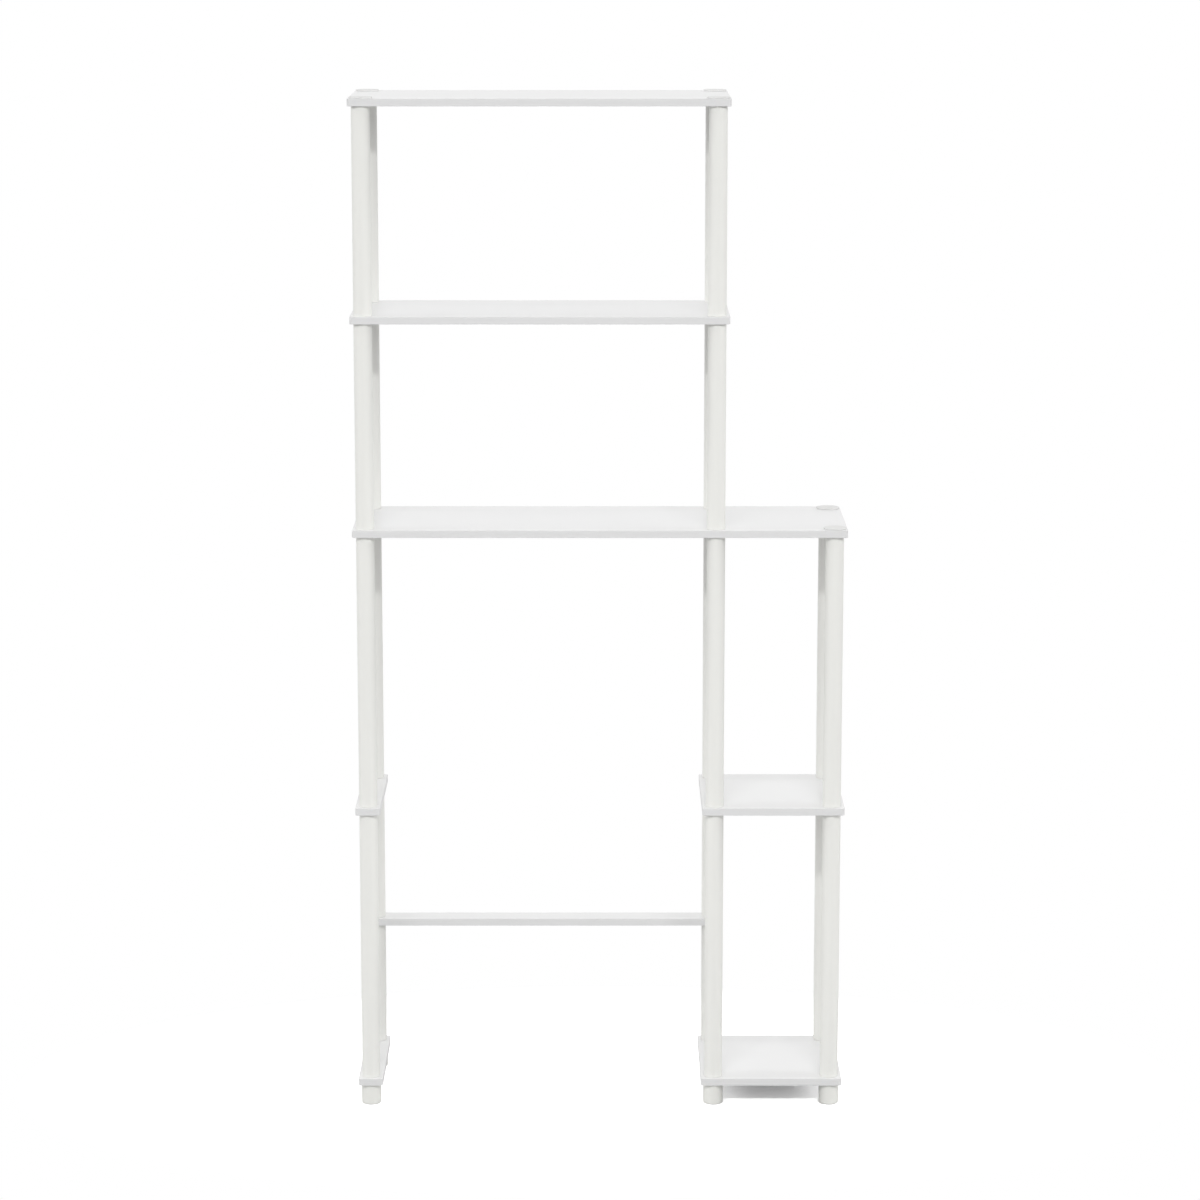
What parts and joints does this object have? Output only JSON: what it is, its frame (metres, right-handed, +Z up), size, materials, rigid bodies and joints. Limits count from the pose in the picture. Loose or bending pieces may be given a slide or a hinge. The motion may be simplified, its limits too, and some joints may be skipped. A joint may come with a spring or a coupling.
{
  "type": "over-toilet shelf",
  "caption": "White knock-down over-toilet shelf: flat boards screwed between round tubes, with an open bay over the toilet and a narrow side tower of small shelves.",
  "frame": {"origin": "on the floor, under the middle of the overall width and depth", "axes": "+X to the right seen from the front, +Y towards the wall, +Z up"},
  "size_m": [0.808, 0.245, 1.6772],
  "materials": {
    "board": "white melamine-faced particle board, satin with a fine orange-peel texture",
    "edge_band": "white plastic edge band, satin",
    "tube": "warm white extruded plastic tube, soft gloss",
    "foot_plastic": "warm white moulded plastic with a fine grain, matt",
    "cap_plastic": "off-white moulded plastic with a fine grain, matt",
    "threaded_insert": "off-white moulded plastic, hidden inside the tubes"
  },
  "bodies": {
    "root": {"base_short_tube_centre_back": "tube", "base_short_tube_left_back": "tube", "base_tier_sockets": "threaded_insert", "base_tier_studs": "threaded_insert", "base_tube_centre_front": "tube", "base_tube_left_front": "tube", "base_tube_right_back": "tube", "base_tube_right_front": "tube", "bottom_shelf": "board", "bottom_shelf_edge_band": "edge_band", "crossbar_tube_centre_back": "tube", "crossbar_tube_left_back": "tube", "foot_centre_back": "foot_plastic", "foot_centre_front": "foot_plastic", "foot_left_back": "foot_plastic", "foot_left_front": "foot_plastic", "foot_right_back": "foot_plastic", "foot_right_front": "foot_plastic", "left_bottom_rail": "board", "left_bottom_rail_edge_band": "edge_band", "left_middle_rail": "board", "left_middle_rail_edge_band": "edge_band", "middle_shelf": "board", "middle_shelf_edge_band": "edge_band", "middle_tier_sockets": "threaded_insert", "middle_tier_studs": "threaded_insert", "middle_tube_centre_back": "tube", "middle_tube_centre_front": "tube", "middle_tube_left_back": "tube", "middle_tube_left_front": "tube", "rear_crossbar": "board", "rear_crossbar_edge_band": "edge_band", "side_cap_right_back": "cap_plastic", "side_cap_right_front": "cap_plastic", "side_shelf": "board", "side_shelf_edge_band": "edge_band", "side_tier_sockets": "threaded_insert", "side_tier_studs": "threaded_insert", "side_tube_centre_back": "tube", "side_tube_centre_front": "tube", "side_tube_left_back": "tube", "side_tube_left_front": "tube", "side_tube_right_back": "tube", "side_tube_right_front": "tube", "top_cap_centre_back": "cap_plastic", "top_cap_centre_front": "cap_plastic", "top_cap_left_back": "cap_plastic", "top_cap_left_front": "cap_plastic", "top_shelf": "board", "top_shelf_edge_band": "edge_band", "upper_shelf": "board", "upper_shelf_edge_band": "edge_band", "upper_tier_sockets": "threaded_insert", "upper_tier_studs": "threaded_insert", "upper_tube_centre_back": "tube", "upper_tube_centre_front": "tube", "upper_tube_left_back": "tube", "upper_tube_left_front": "tube"}
  },
  "joints": []
}
